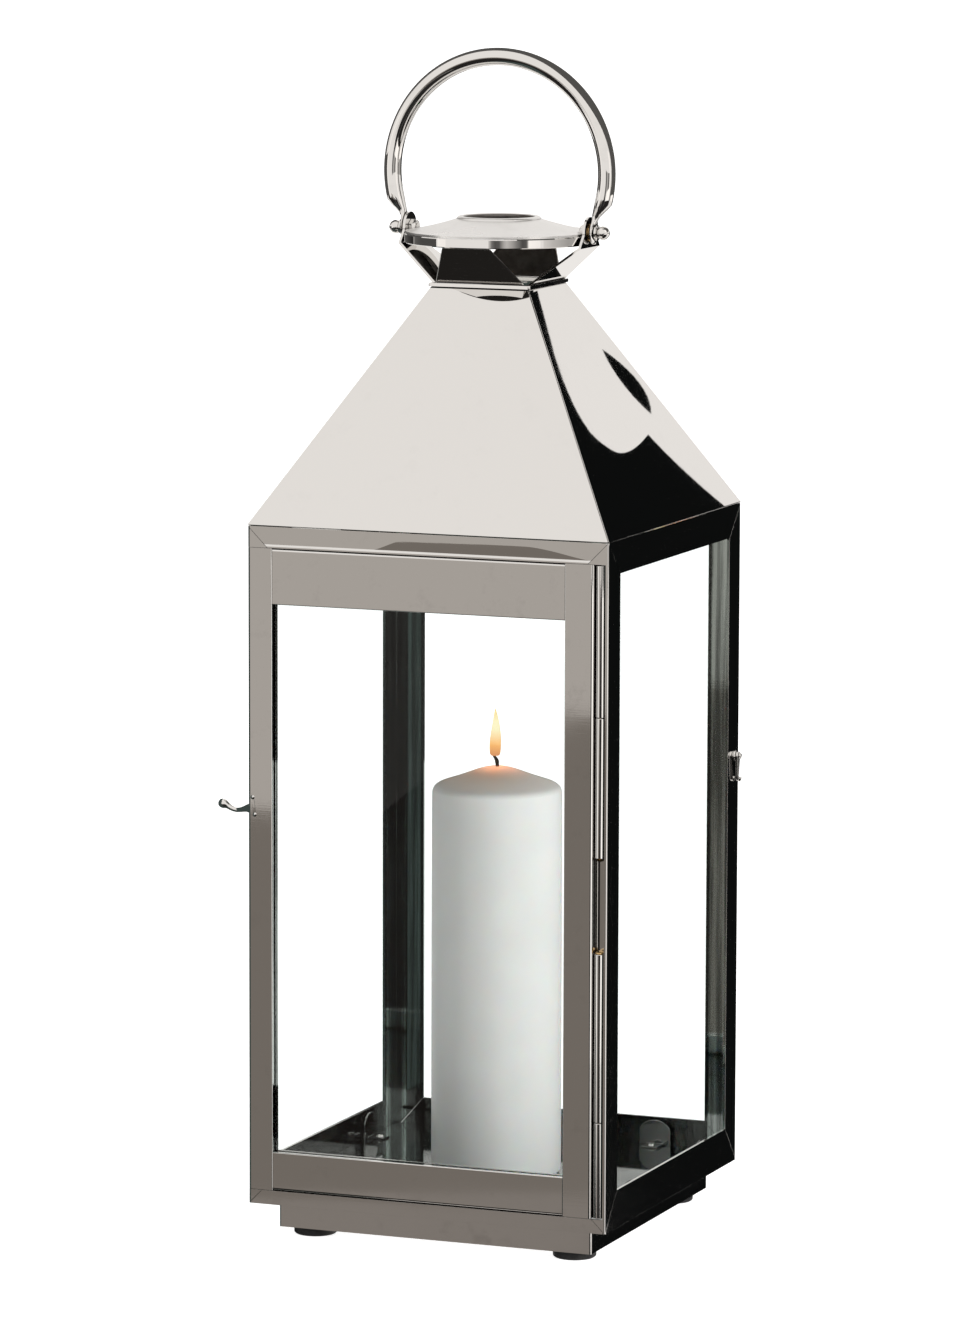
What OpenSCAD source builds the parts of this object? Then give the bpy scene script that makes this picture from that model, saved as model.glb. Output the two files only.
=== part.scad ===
// Candle lantern: square glazed body, pyramid roof, vented chimney cap, ring handle, hinged door.
// Units are millimetres. Z is up, z = 0 is the ground, the front with the door faces -Y.

/* [Body] */
// Width and depth of the body
body_w = 220; // [200:5:240]
// Height of the body from its lower edge to the eave
body_h = 394; // [340:2:440]
// Width of the frame members beside the panes
leg_w = 19.4; // [16:0.2:22]
// Height of the upper side members
top_h = 19.1; // [16:0.1:22]
// Height of the lower side members
bot_h = 22.2; // [18:0.1:26]
// Thickness of the folded sheet
sheet_t = 1.6; // [1.2:0.1:2]

/* [Base] */
// Set-in of the plinth from the body on each side
plinth_in = 13.4; // [8:0.2:18]
// Height of the plinth
plinth_h = 15.5; // [12:0.5:24]
// Diameter of a rubber foot
foot_d = 25; // [18:1:30]
// Height of a rubber foot
foot_h = 5.5; // [4:0.5:8]

/* [Door] */
// Width of the left stile
stile_l = 15; // [13:0.5:18]
// Width of the right stile
stile_r = 17.3; // [14:0.1:20]
// Height of the top rail
rail_t = 32.3; // [24:0.1:40]
// Height of the bottom rail
rail_b = 22.5; // [18:0.5:30]
// Thickness of the door
door_t = 6.5; // [6.5:0.1:7]
// Thickness of the glass
glass_t = 2; // [1.6:0.1:2.2]

/* [Roof] */
// Height of the roof
roof_h = 133; // [110:1:150]
// Half width of the roof at its top
roof_top = 30.1; // [29.5:0.1:31]

/* [Handle] */
// Mean radius of the handle ring
ring_r = 66.2; // [66:0.1:67]
// Diameter of the handle rod
rod_d = 10.2; // [8:0.2:11]

/* [Candle] */
// Diameter of the candle
candle_d = 76.2; // [50:0.2:90]
// Height of the candle's straight side
candle_h = 230; // [60:1:250]

/* [Show] */
// Which piece to build

/* [Hidden] */
$fn = 48;
// moves the model so that its bounding box, catch lever included, is centred on the origin
centre_x = 9.5;

h = body_w / 2;
t = sheet_t;
zb = foot_h + plinth_h;
zt = zb + body_h;
zr = zt + 0.2 + roof_h;
gap = 0.12;
// door zone
zd0 = zb + 8.5;
zd1 = zt - 12.5;
door_x1 = h - 8.7;
bead_r = 1.6;
yr = -h + door_t + 0.5;
floor_z = zb + 5.6;
floor_t = 1.6;
// hinge axis
hx = h - 5.1;
hy = -h + 3.4;
hr = 3.2;
pin_r = 1.4;
// knuckle heights
k0 = zd0 + 0.3;
k1 = zb + 63.6;
k2 = zb + 160.5;
k3 = zb + 215.2;
k4 = zb + 295.2;
k5 = zd1 - 0.5;
// catch
lz = zb + 229;
ly = -h + 11;
// rear hook
rz = zb + 244.5;
ry = h - 7.3;
// chimney
zc = zr + 2.1;
cap_z = zr + 24.1;
rim_r = 54.5;
lip_r = 23.8;
// the lip's rolled edge is this much wider than high
lip_roll = 1.33;
ear_x = 54.8;
ear_t = 1.5;
piv_z = zr + 31.3;
ring_z = piv_z + 33.2;

steel = [0.78, 0.77, 0.75];
dark = [0.6, 0.59, 0.57];

// ---------- helpers ----------

module placed() {
  translate([centre_x, 0, 0])
    children();
}

module box(a, b) {
  translate(a)
    cube(b - a);
}

module outline(z0, z1, w = h, r = 1.5) {
  translate([0, 0, z0])
    linear_extrude(z1 - z0)
      offset(r = r, $fn = 32)
        offset(delta = -r)
          square(2 * w, center = true);
}

// triangular sector round +X, so that four mitred members meet at the corners
module sector(g = gap) {
  translate([0, 0, -1])
    linear_extrude(zr + 60)
      polygon([[g, 0], [h + 20 + g, h + 20], [h + 20 + g, -h - 20]]);
}

// prism along X with the side view of a member that is mitred at both ends
module trapezoid_x(z0, z1, leg, grow) {
  dz = z1 - z0;
  rotate([90, 0, 90])
    translate([0, 0, -h - 1])
      linear_extrude(2 * h + 2)
        offset(delta = grow)
          polygon([[-h, z0], [h, z0], [h - leg, z0 + dz], [-h + leg, z0 + dz]]);
}

module trapezoid_y(z0, z1, leg, grow) {
  rotate([0, 0, 90])
    trapezoid_x(z0, z1, leg, grow);
}

// one side member in the +X face
module top_member() {
  intersection() {
    union() {
      box([h - t, -h, zt - top_h], [h, h, zt]);
      box([h - 12, -h, zt - t], [h, h, zt]);
    }
    trapezoid_x(zt, zt - top_h, leg_w, -gap);
    sector();
    outline(zt - top_h - 1, zt + 1);
  }
  intersection() {
    box([h - 12, -h, zt - t], [h - t + 0.01, h, zt - gap]);
    sector();
  }
}

module bottom_member() {
  intersection() {
    box([h - t, -h, zb], [h, h, zb + bot_h]);
    trapezoid_x(zb, zb + bot_h, leg_w, -gap);
    sector();
    outline(zb - 1, zb + bot_h + 1);
  }
  intersection() {
    box([h - 22, -h, zb + gap], [h - t + 0.01, h, zb + t]);
    sector();
  }
}

// the corner post of the +X +Y corner
module corner_post() {
  difference() {
    intersection() {
      difference() {
        box([h - leg_w, h - leg_w, zb], [h, h, zt]);
        box([h - leg_w - 1, h - leg_w - 1, zb - 1], [h - t, h - t, zt + 1]);
      }
      outline(zb, zt);
    }
    post_mitres();
  }
}

module post_mitres() {
  trapezoid_x(zt, zt - top_h, leg_w, gap);
  trapezoid_y(zt, zt - top_h, leg_w, gap);
  trapezoid_x(zb, zb + bot_h, leg_w, gap);
  trapezoid_y(zb, zb + bot_h, leg_w, gap);
}

// cut for the side members and the front strips on a front post
module front_post_mitres() {
  trapezoid_x(zt, zt - top_h, leg_w, gap);
  trapezoid_x(zb, zb + bot_h, leg_w, gap);
  intersection() {
    union() {
      trapezoid_y(zt, zt - 30, 30, gap);
      trapezoid_y(zb, zb + 30, 30, gap);
    }
    box([-h - 1, -h - 1, 0], [h + 1, -h + t + 0.05, zt + 9]);
  }
}

module at_corners(d) {
  for (sx = [-1, 1], sy = [-1, 1])
    translate([sx * d, sy * d, 0])
      children();
}

// ---------- base ----------

module plinth() {
  w = h - plinth_in;
  color(steel)
    difference() {
      outline(foot_h, zb, w, 1.2);
      outline(foot_h + t, zb + 1, w - t, 0.6);
      at_corners(h - 29.5)
        translate([0, 0, foot_h - 1])
          cylinder(r = 1.8, h = 5);
    }
}

module rubber_feet() {
  color([0.04, 0.04, 0.045])
    at_corners(h - 29.5)
      rotate_extrude($fn = 64)
        polygon([[1.8, 2.7], [3.5, 2.7], [3.5, 0], [foot_d / 2 - 1, 0], [foot_d / 2, 0.9],
          [foot_d / 2, foot_h - 0.7], [foot_d / 2 - 0.7, foot_h], [1.8, foot_h]]);
}

module foot_screws() {
  color(steel)
    at_corners(h - 29.5)
      difference() {
        union() {
          translate([0, 0, 1.1])
            cylinder(r1 = 2.5, r2 = 3, h = 0.5);
          translate([0, 0, 1.6])
            cylinder(r = 3, h = 1.1);
          translate([0, 0, 2])
            cylinder(r = 1.6, h = 8);
        }
        box([-2, -0.35, 1], [2, 0.35, 1.8]);
        box([-0.35, -2, 1], [0.35, 2, 1.8]);
      }
}

module floor_plate() {
  color(steel)
    difference() {
      box([-h + t + 0.2, yr + t + 0.2, zb + t + 0.1], [h - t - 0.2, h - t - 0.2, floor_z]);
      box([-h + 3.4 + t, yr + 3.4 + t, zb], [h - 3.4 - t, h - 3.4 - t, floor_z - floor_t]);
    }
}

module sill_front() {
  color(steel)
    intersection() {
      union() {
        box([-h, -h, zb], [h, -h + t, zd0 - 0.2]);
        box([-h + 14, -h, zd0 - 0.2 - t], [h - 14, yr - 0.1, zd0 - 0.2]);
        box([-h, -h, zb], [h, -h + 22, zb + t]);
      }
      trapezoid_y(zb, zb + 30, 30, -gap);
      rotate([0, 0, -90])
        sector();
      outline(zb - 1, zt);
    }
}

module bottom_right() {
  color(steel)
    bottom_member();
}

module bottom_rear() {
  color(steel)
    rotate([0, 0, 90])
      bottom_member();
}

module bottom_left() {
  color(steel)
    rotate([0, 0, 180])
      bottom_member();
}

// ---------- front inner frame ----------

module inner_frame_top() {
  color(steel) {
    box([-h + stile_l + gap, yr, zd1 - rail_t], [door_x1 - stile_r - gap, yr + t, zd1 + 0.2]);
    box([-h + stile_l + gap, yr, zd1 + 0.2], [door_x1 - stile_r - gap, yr + t, zt - t - 0.2]);
  }
}

module inner_frame_bottom() {
  color(steel)
    box([-h + stile_l + gap, yr, zb + t + 0.1], [door_x1 - stile_r - gap, yr + t, zd0 + rail_b]);
}

// ---------- posts ----------

module post_rear_right() {
  color(steel)
    corner_post();
}

module post_rear_left() {
  color(steel)
    rotate([0, 0, 90])
      corner_post();
}

module post_front_left() {
  color(steel)
    difference() {
      intersection() {
        union() {
          box([-h, -h, zb], [-h + t, -h + leg_w, zt]);
          box([-h, -h, zb], [-h + 12.5, -h + t, zt]);
          box([-h, yr, zb + t + 0.2], [-h + stile_l, yr + t, zt - t - 0.2]);
        }
        outline(zb, zt);
      }
      box([-h - 1, -h - 1, zd0 - 0.2], [-h + 30, yr, zd1 + 0.2]);
      front_post_mitres();
      // bore for the catch shaft
      translate([-h - 1, ly, lz])
        rotate([0, 90, 0])
          cylinder(r = 2.06, h = 5);
      // slot for the keeper and the tongue
      box([-h + 1.9, yr - 1, lz - 11], [-h + 6, yr + t + 1, lz + 3]);
    }
}

module post_front_right() {
  color(steel)
    difference() {
      intersection() {
        union() {
          box([h - t, -h, zb], [h, -h + leg_w, zt]);
          box([h - 12.5, -h, zb], [h, -h + t, zt]);
          box([door_x1 - stile_r, yr, zb + t + 0.2], [h - t + 0.01, yr + t, zt - t - 0.2]);
        }
        outline(zb, zt, h, 0.7);
      }
      box([h - 30, -h - 1, zd0 - 0.2], [h - t, yr, zd1 + 0.2]);
      front_post_mitres();
    }
}

// ---------- upper members ----------

module eave_front() {
  color(steel)
    intersection() {
      union() {
        box([-h, -h, zd1 + 0.2], [h, -h + t, zt]);
        box([-h + 14, -h, zd1 + 0.2], [h - 14, yr - 0.1, zd1 + 0.2 + t]);
        box([-h, -h, zt - t], [h, yr - 0.1, zt]);
      }
      trapezoid_y(zt, zt - 30, 30, -gap);
      rotate([0, 0, -90])
        sector();
      outline(zb - 1, zt + 1);
    }
}

module top_right() {
  color(steel)
    top_member();
}

module top_rear() {
  color(steel)
    rotate([0, 0, 90])
      top_member();
}

module top_left() {
  color(steel)
    rotate([0, 0, 180])
      top_member();
}

// ---------- glass ----------

module side_pane() {
  box([h - t - 0.2 - glass_t, -h + leg_w - 2, floor_z + 0.1], [h - t - 0.2, h - leg_w + 2, zt - 10]);
}

module pane_right() {
  color([0.85, 0.92, 0.92, 0.3])
    side_pane();
}

module pane_rear() {
  color([0.85, 0.92, 0.92, 0.3])
    rotate([0, 0, 90])
      side_pane();
}

module pane_left() {
  color([0.85, 0.92, 0.92, 0.3])
    rotate([0, 0, 180])
      side_pane();
}

module each_tab() {
  for (a = [0, 90, 180], s = [-1, 1])
    rotate([0, 0, a])
      translate([h - t - 0.5 - glass_t, s * h * 0.55, floor_z])
        children();
}

// upright rounded tab with a foot on the floor
module glass_tabs() {
  color(steel)
    each_tab()
      difference() {
        union() {
          translate([-1.2, 0, 0])
            rotate([90, 0, 90])
              linear_extrude(1.2)
                intersection() {
                  translate([-10, 0.02])
                    square([20, 16]);
                  translate([0, 4])
                    circle(r = 11.5, $fn = 72);
                }
          box([-11, -5, 0.02], [-0.6, 5, 1.2]);
        }
        translate([-6.8, 0, -1])
          cylinder(r = 1.5, h = 5, $fn = 24);
      }
}

module tab_rivets() {
  color(steel)
    each_tab()
      translate([-6.8, 0, 0])
        rotate_extrude($fn = 32)
          polygon([[0, 0.05], [1.4, 0.05], [1.4, 1.25], [2.4, 1.25], [2.2, 1.8], [1.5, 2.3], [0.7, 2.5],
            [0, 2.55]]);
}

// ---------- roof ----------

module roof_shell() {
  hz = 1.5 / sin(atan2(roof_h, h + 0.5 - roof_top));
  b = h + 0.5;
  difference() {
    translate([0, 0, zt + 0.2])
      linear_extrude(roof_h, scale = roof_top / b)
        square(2 * b, center = true);
    translate([0, 0, zt + 0.2])
      linear_extrude(roof_h, scale = (roof_top - hz) / (b - hz))
        square(2 * (b - hz), center = true);
    box([-60, -60, zr - 0.001], [60, 60, zr + 2]);
    box([-b, -b, zt], [b, b, zt + 0.201]);
  }
}

module roof_panel(a) {
  color(steel)
    intersection() {
      roof_shell();
      rotate([0, 0, a])
        sector();
    }
}

module roof_right() {
  roof_panel(0);
}

module roof_rear() {
  roof_panel(90);
}

module roof_left() {
  roof_panel(180);
}

module roof_front() {
  roof_panel(-90);
}

module roof_collar() {
  color(steel)
    translate([0, 0, zr + 0.1])
      difference() {
        linear_extrude(2)
          offset(r = 1.2, $fn = 24)
            square(2 * roof_top, center = true);
        translate([0, 0, -1])
          linear_extrude(4)
            square(2 * roof_top - 6, center = true);
      }
}

// ---------- chimney ----------

// plate leaning outwards towards -Y
module lean_plate() {
  y0 = roof_top - 0.4;
  y1 = 51.6;
  intersection() {
    rotate([90, 0, 90])
      translate([0, 0, -40])
        linear_extrude(80)
          polygon([[-y0, zc + 0.05], [-y0 + 1.6, zc + 0.05], [-y1 + 1.6, cap_z - 0.1], [-y1, cap_z - 0.1]]);
    rotate([90, 0, 0])
      translate([0, 0, -80])
        linear_extrude(160)
          polygon([[-27.5, zc], [27.5, zc], [14.7, cap_z], [-14.7, cap_z]]);
  }
}

module neck_front() {
  color(dark)
    lean_plate();
}

module neck_rear() {
  color(dark)
    rotate([0, 0, 180])
      lean_plate();
}

// plate leaning outwards towards +X, bent upright into the ear that carries the handle
module ear_plate() {
  x0 = roof_top - 0.4;
  x1 = ear_x;
  difference() {
    intersection() {
      rotate([90, 0, 0])
        translate([0, 0, -40])
          linear_extrude(80)
            polygon([[x0 - 1.6, zc + 0.05], [x0 + 0.6, zc + 0.05], [x1 + ear_t, cap_z - 1.2],
              [x1 + ear_t, piv_z + 10], [x1, piv_z + 10], [x1, cap_z - 0.6]]);
      rotate([90, 0, 90])
        linear_extrude(80)
          union() {
            polygon([[-27.5, zc], [27.5, zc], [14.7, cap_z], [9, piv_z - 1], [-9, piv_z - 1],
              [-14.7, cap_z]]);
            translate([0, piv_z])
              circle(r = 9, $fn = 72);
          }
    }
    translate([ear_x - 1, 0, piv_z])
      rotate([0, 90, 0])
        cylinder(r = 2.6, h = 5);
  }
}

module neck_right() {
  color(dark)
    ear_plate();
}

module neck_left() {
  color(dark)
    rotate([0, 0, 180])
      ear_plate();
}

module both_ends() {
  children();
  mirror([1, 0, 0])
    children();
}

// room in the cap for the inner nuts of the handle pivots
module nut_notches() {
  both_ends()
    translate([50, 0, piv_z])
      rotate([0, 90, 0])
        cylinder(r = 5.1, h = 8, $fn = 48);
}

module cap_rim() {
  color(steel)
    difference() {
      rotate_extrude($fn = 120)
        polygon([[49.5, cap_z], [rim_r - 0.5, cap_z], [rim_r, cap_z + 0.5], [rim_r, cap_z + 4.9],
          [rim_r - 0.5, cap_z + 5.4], [rim_r - 1.6, cap_z + 5.4], [rim_r - 1.6, cap_z + 1.3],
          [49.5, cap_z + 1.3]]);
      nut_notches();
    }
}

function dome_z(r) = cap_z + 6.7 + 7.2 * pow((rim_r - r) / (rim_r - lip_r), 1.35);

module cap_dome() {
  r0 = rim_r - 0.6;
  step = (r0 - lip_r) / 8;
  color(steel)
    difference() {
      rotate_extrude($fn = 120)
        union() {
          polygon(concat(
            [for (i = [0:8]) [r0 - i * step, dome_z(r0 - i * step)]],
            [for (i = [8:-1:0]) [r0 - i * step, dome_z(r0 - i * step) - 1.2]]));
          translate([lip_r - 1.6, dome_z(lip_r) - 0.2])
            scale([lip_roll, 1])
              circle(r = 1.7, $fn = 24);
        }
      nut_notches();
    }
}

// ---------- handle ----------

// ring on its two tapering ends, each with a flat eye
module handle_ring() {
  a0 = -15;
  xe = ring_r * cos(a0);
  ze = ring_z + ring_r * sin(a0);
  // the taper starts inside the ring and runs down into the eye
  dx = 59 - xe;
  dz = piv_z + 5 - ze;
  len = sqrt(dx * dx + dz * dz);
  color(steel)
    difference() {
      union() {
        translate([0, 0, ring_z])
          rotate([90, 0, 0])
            rotate_extrude(angle = 180 - 2 * a0, start = a0, $fn = 120)
              translate([ring_r, 0])
                circle(d = rod_d, $fn = 28);
        both_ends() {
          translate([xe - dx / len * 2, 0, ze - dz / len * 2])
            rotate([0, 180 + atan2(-dx, -dz), 0])
              cylinder(r1 = rod_d / 2 - 0.4, r2 = 2.9, h = len + 2, $fn = 40);
          translate([57.4, 0, piv_z])
            rotate([0, 90, 0])
              cylinder(r = 6.6, h = 2.2, $fn = 48);
        }
      }
      // flat inner and outer faces of the eyes, and the bores
      both_ends() {
        box([50, -20, piv_z - 20], [57.4, 20, piv_z + 9.6]);
        box([59.6, -20, piv_z - 20], [80, 20, piv_z + 5.4]);
        translate([50, 0, piv_z])
          rotate([0, 90, 0])
            cylinder(r = 2.55, h = 20, $fn = 48);
      }
    }
}

module pivot_bolts() {
  color(steel)
    both_ends()
      translate([50.2, 0, piv_z])
        rotate([0, 90, 0])
          cylinder(r = 2.5, h = 12.8, $fn = 48);
}

module pivot_washers() {
  color([0.72, 0.6, 0.38])
    both_ends()
      translate([ear_x + ear_t + 0.02, 0, piv_z])
        rotate([0, 90, 0])
          difference() {
            cylinder(r = 5, h = 0.7, $fn = 48);
            translate([0, 0, -1])
              cylinder(r = 2.56, h = 3, $fn = 48);
          }
}

module pivot_inner_nuts() {
  color(steel)
    both_ends()
      translate([ear_x - 4.1, 0, piv_z])
        rotate([0, 90, 0])
          difference() {
            intersection() {
              cylinder(r = 4.7, h = 4, $fn = 6);
              cylinder(r1 = 4, r2 = 6.5, h = 4, $fn = 48);
            }
            translate([0, 0, -1])
              cylinder(r = 2.56, h = 6, $fn = 48);
          }
}

module pivot_ball_nuts() {
  color(steel)
    both_ends()
      translate([59.95, 0, piv_z])
        rotate([0, 90, 0])
          difference() {
            rotate_extrude($fn = 48)
              polygon(concat([[0, 0], [4.6, 0], [4.6, 0.9], [3, 1.3]],
                [for (a = [-46:8:90]) [3.95 * cos(a), 4.15 + 3.95 * sin(a)]]));
            translate([0, 0, -1])
              cylinder(r = 2.56, h = 4.2, $fn = 48);
          }
}

// ---------- door ----------

// box section of a door stile, w wide, with a groove for the glass on its +X side
// bar of the door frame: well rounded along its outer edge, nearly sharp towards the glass
module door_bar(w, t) {
  intersection() {
    offset(r = bead_r, $fn = 32)
      offset(delta = -bead_r)
        square([w + 2 * bead_r, t]);
    offset(r = 0.5, $fn = 16)
      offset(delta = -0.5)
        translate([-2, 0])
          square([w + 2, t]);
  }
}

module stile_section(w) {
  difference() {
    door_bar(w, door_t);
    translate([1.3, 1.3])
      square([w - 2.6, door_t - 2.6]);
    translate([w - 3, 2.6])
      square([4, 2.4]);
  }
}

module door_stile_left() {
  color(steel)
    difference() {
      translate([-h, -h, zd0])
        linear_extrude(zd1 - zd0)
          stile_section(stile_l);
      // slot for the keeper and its rivet holes
      box([-h + 1.9, -h + 4, lz - 11], [-h + 5.1, -h + 9, lz - 4]);
      keeper_holes();
    }
}

module door_stile_right() {
  color(steel)
    translate([door_x1, -h, zd0])
      mirror([1, 0, 0])
        linear_extrude(zd1 - zd0)
          stile_section(stile_r);
}

// box section of a rail, a high, with a groove for the glass on its upper edge
module rail_section(a) {
  difference() {
    translate([door_t, 0])
      rotate([0, 0, 90])
        door_bar(a, door_t - 0.4);
    translate([1.7, 1.3])
      square([door_t - 3, a - 2.6]);
    translate([2.6, a - 3])
      square([2.4, 4]);
  }
}

module door_rail_bottom() {
  color(steel)
    translate([-h + stile_l + gap, -h, zd0])
      rotate([90, 0, 90])
        linear_extrude(door_x1 - stile_r + h - stile_l - 2 * gap)
          rail_section(rail_b);
}

module door_rail_top() {
  color(steel)
    translate([-h + stile_l + gap, -h, zd1])
      rotate([90, 0, 90])
        linear_extrude(door_x1 - stile_r + h - stile_l - 2 * gap)
          mirror([0, 1])
            rail_section(rail_t);
}

module door_glass() {
  y0 = -h + 3.8 - glass_t / 2;
  color([0.85, 0.92, 0.92, 0.3])
    box([-h + stile_l - 2.5, y0, zd0 + rail_b - 2.5],
      [door_x1 - stile_r + 2.5, y0 + glass_t, zd1 - rail_t + 2.5]);
}

module knuckle(z0, z1) {
  difference() {
    union() {
      translate([hx, hy, z0])
        cylinder(r = hr, h = z1 - z0, $fn = 48);
      children();
    }
    translate([hx, hy, z0 - 1])
      cylinder(r = pin_r + 0.06, h = z1 - z0 + 2, $fn = 36);
  }
}

module hinge_door_knuckles() {
  color(steel) {
    knuckle(k1 + 0.3, k2)
      box([door_x1, hy - 0.9, k1 + 0.3], [hx - 2, hy + 0.9, k2]);
    knuckle(k3, k4 - 0.3)
      box([door_x1, hy - 0.9, k3], [hx - 2, hy + 0.9, k4 - 0.3]);
  }
}

module hinge_body_knuckles() {
  color(steel) {
    knuckle(k0, k1)
      box([hx + 2, hy - 0.9, k0], [h - t, hy + 0.9, k1]);
    knuckle(k4, k5)
      box([hx + 2, hy - 0.9, k4], [h - t, hy + 0.9, k5]);
  }
}

// brass pins with a domed head where the two hinges face each other
module hinge_pins() {
  color([0.78, 0.6, 0.32]) {
    translate([hx, hy, 0])
      rotate_extrude($fn = 36)
        polygon([[0, k0 + 1], [pin_r, k0 + 1], [pin_r, k2 + 0.3], [2.7, k2 + 0.3], [2.5, k2 + 1],
          [1.7, k2 + 1.6], [0.8, k2 + 1.9], [0, k2 + 2]]);
    translate([hx, hy, 0])
      rotate_extrude($fn = 36)
        polygon([[0, k5 - 1], [pin_r, k5 - 1], [pin_r, k3 - 0.3], [2.7, k3 - 0.3], [2.5, k3 - 1],
          [1.7, k3 - 1.6], [0.8, k3 - 1.9], [0, k3 - 2]]);
  }
}

// ---------- catch ----------

module keeper_holes() {
  for (p = [[2.9, 8.4], [4.2, -1.6]])
    translate([-h + p[0], -h - 1, lz + p[1]])
      rotate([-90, 0, 0])
        cylinder(r = 0.85, h = 3.5, $fn = 24);
}

// plate riveted inside the stile; its hooked tail passes through the post
module keeper() {
  color(steel)
    difference() {
      union() {
        box([-h + 1.5, -h + 1.4, lz - 9], [-h + 8, -h + 2.4, lz + 12]);
        box([-h + 3.1, -h + 1.4, lz - 9], [-h + 4.5, ly + 4.7, lz - 6.2]);
        box([-h + 3.1, ly + 3.1, lz - 9], [-h + 4.5, ly + 4.7, lz - 4.75]);
      }
      keeper_holes();
    }
}

module keeper_rivets() {
  color(steel)
    for (p = [[2.9, 8.4], [4.2, -1.6]])
      translate([-h + p[0], -h - 0.45, lz + p[1]])
        rotate([-90, 0, 0])
          rotate_extrude($fn = 28)
            polygon([[0, 0], [0.6, 0.05], [1.15, 0.25], [1.25, 0.44], [0.8, 0.44], [0.8, 2.9], [0, 2.9]]);
}

// turned boss and S-curved finger lever on the left side, with its shaft
module latch_lever() {
  color(steel)
    translate([-h, ly, lz])
      rotate([0, -90, 0]) {
        // shaft through the post
        translate([0, 0, -5])
          cylinder(r = 2, h = 5.6, $fn = 40);
        rotate_extrude($fn = 40)
          polygon([[0, 0.35], [5, 0.35], [5, 1.2], [4.1, 1.9], [3.3, 3], [2.6, 4.6], [2, 6.4], [0, 6.4]]);
        hull() {
          translate([0, 0, 6])
            sphere(r = 1.9, $fn = 24);
          translate([-1.5, 0, 11])
            sphere(r = 1.35, $fn = 24);
        }
        hull() {
          translate([-1.5, 0, 11])
            sphere(r = 1.35, $fn = 24);
          translate([-0.6, 0, 15.5])
            sphere(r = 1.6, $fn = 24);
        }
        hull() {
          translate([-0.6, 0, 15.5])
            sphere(r = 1.6, $fn = 24);
          translate([1.9, 0, 20.4])
            sphere(r = 2.4, $fn = 24);
        }
        translate([1.9, 0, 20.4])
          sphere(r = 2.7, $fn = 28);
      }
}

// tongue on the inner end of the shaft; it points back when the catch is open
module latch_tongue() {
  color(steel)
    translate([-h + 3.1, ly, lz])
      rotate([0, 90, 0])
        linear_extrude(1.4)
          difference() {
            union() {
              circle(r = 3, $fn = 40);
              translate([-1.3, 0])
                square([2.6, 4.6]);
              translate([0, 4.2])
                circle(r = 1.3, $fn = 32);
            }
            circle(r = 2.03, $fn = 40);
          }
}

// ---------- rear hook ----------

module rear_eye() {
  color(steel)
    translate([h + 0.02, ry, rz])
      rotate([0, 90, 0])
        rotate_extrude($fn = 36)
          polygon([[0, 0], [3, 0], [3, 0.4], [2.6, 0.8], [1, 0.8], [1, 3], [1.9, 3], [1.9, 3.5],
            [1.3, 3.95], [0, 4.1]]);
}

module rear_hook() {
  color(steel)
    translate([h + 1.1, ry, rz])
      rotate([90, 0, 90])
        linear_extrude(1.6)
          difference() {
            union() {
              circle(r = 2.5, $fn = 40);
              polygon(concat([[2, -1], [-2, -1]],
                [for (a = [180:15:330]) [2.2 + 3.6 * cos(a), -12 + 3.6 * sin(a)]],
                [for (a = [330:-15:180]) [2.2 + 1.9 * cos(a), -12 + 1.9 * sin(a)]]));
            }
            circle(r = 1.06, $fn = 40);
          }
}

// ---------- candle ----------

module candle() {
  r = candle_d / 2;
  z0 = floor_z + 0.05;
  z1 = z0 + candle_h;
  color([0.9, 0.88, 0.84])
    rotate_extrude($fn = 120)
      polygon([[0, z0], [r - 3.5, z0], [r - 1.4, z0 + 0.9], [r - 0.3, z0 + 2.4], [r, z0 + 4.5],
        [r, z1 - 5], [r - 0.5, z1 - 2.4], [r - 1.8, z1 - 0.5], [r - 4, z1 + 0.9], [r * 0.6, z1 + 4.8],
        [r * 0.3, z1 + 8.8], [4, z1 + 10.6], [0, z1 + 11.4]]);
}

module wick() {
  z1 = floor_z + 0.05 + candle_h + 11.4;
  color([0.05, 0.045, 0.04]) {
    hull() {
      translate([0, 0, z1 + 0.1])
        cylinder(r = 1, h = 0.4, $fn = 20);
      translate([-0.5, 0, z1 + 3.4])
        sphere(r = 0.85, $fn = 16);
    }
    hull() {
      translate([-0.5, 0, z1 + 3.4])
        sphere(r = 0.85, $fn = 16);
      translate([-2.3, 0, z1 + 5.6])
        sphere(r = 0.6, $fn = 16);
    }
  }
}

placed() plinth();
placed() rubber_feet();
placed() foot_screws();
placed() floor_plate();
placed() sill_front();
placed() bottom_left();
placed() bottom_right();
placed() bottom_rear();
placed() inner_frame_top();
placed() inner_frame_bottom();
placed() post_front_left();
placed() post_front_right();
placed() post_rear_left();
placed() post_rear_right();
placed() eave_front();
placed() top_left();
placed() top_right();
placed() top_rear();
placed() pane_left();
placed() pane_right();
placed() pane_rear();
placed() glass_tabs();
placed() tab_rivets();
placed() roof_front();
placed() roof_rear();
placed() roof_left();
placed() roof_right();
placed() roof_collar();
placed() neck_front();
placed() neck_rear();
placed() neck_left();
placed() neck_right();
placed() cap_rim();
placed() cap_dome();
placed() handle_ring();
placed() pivot_bolts();
placed() pivot_washers();
placed() pivot_inner_nuts();
placed() pivot_ball_nuts();
placed() door_stile_left();
placed() door_stile_right();
placed() door_rail_top();
placed() door_rail_bottom();
placed() door_glass();
placed() hinge_door_knuckles();
placed() keeper();
placed() keeper_rivets();
placed() hinge_body_knuckles();
placed() hinge_pins();
placed() latch_lever();
placed() latch_tongue();
placed() rear_eye();
placed() rear_hook();
placed() candle();
placed() wick();
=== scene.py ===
import math

import bmesh
import bpy
from mathutils import Matrix, Vector


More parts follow.
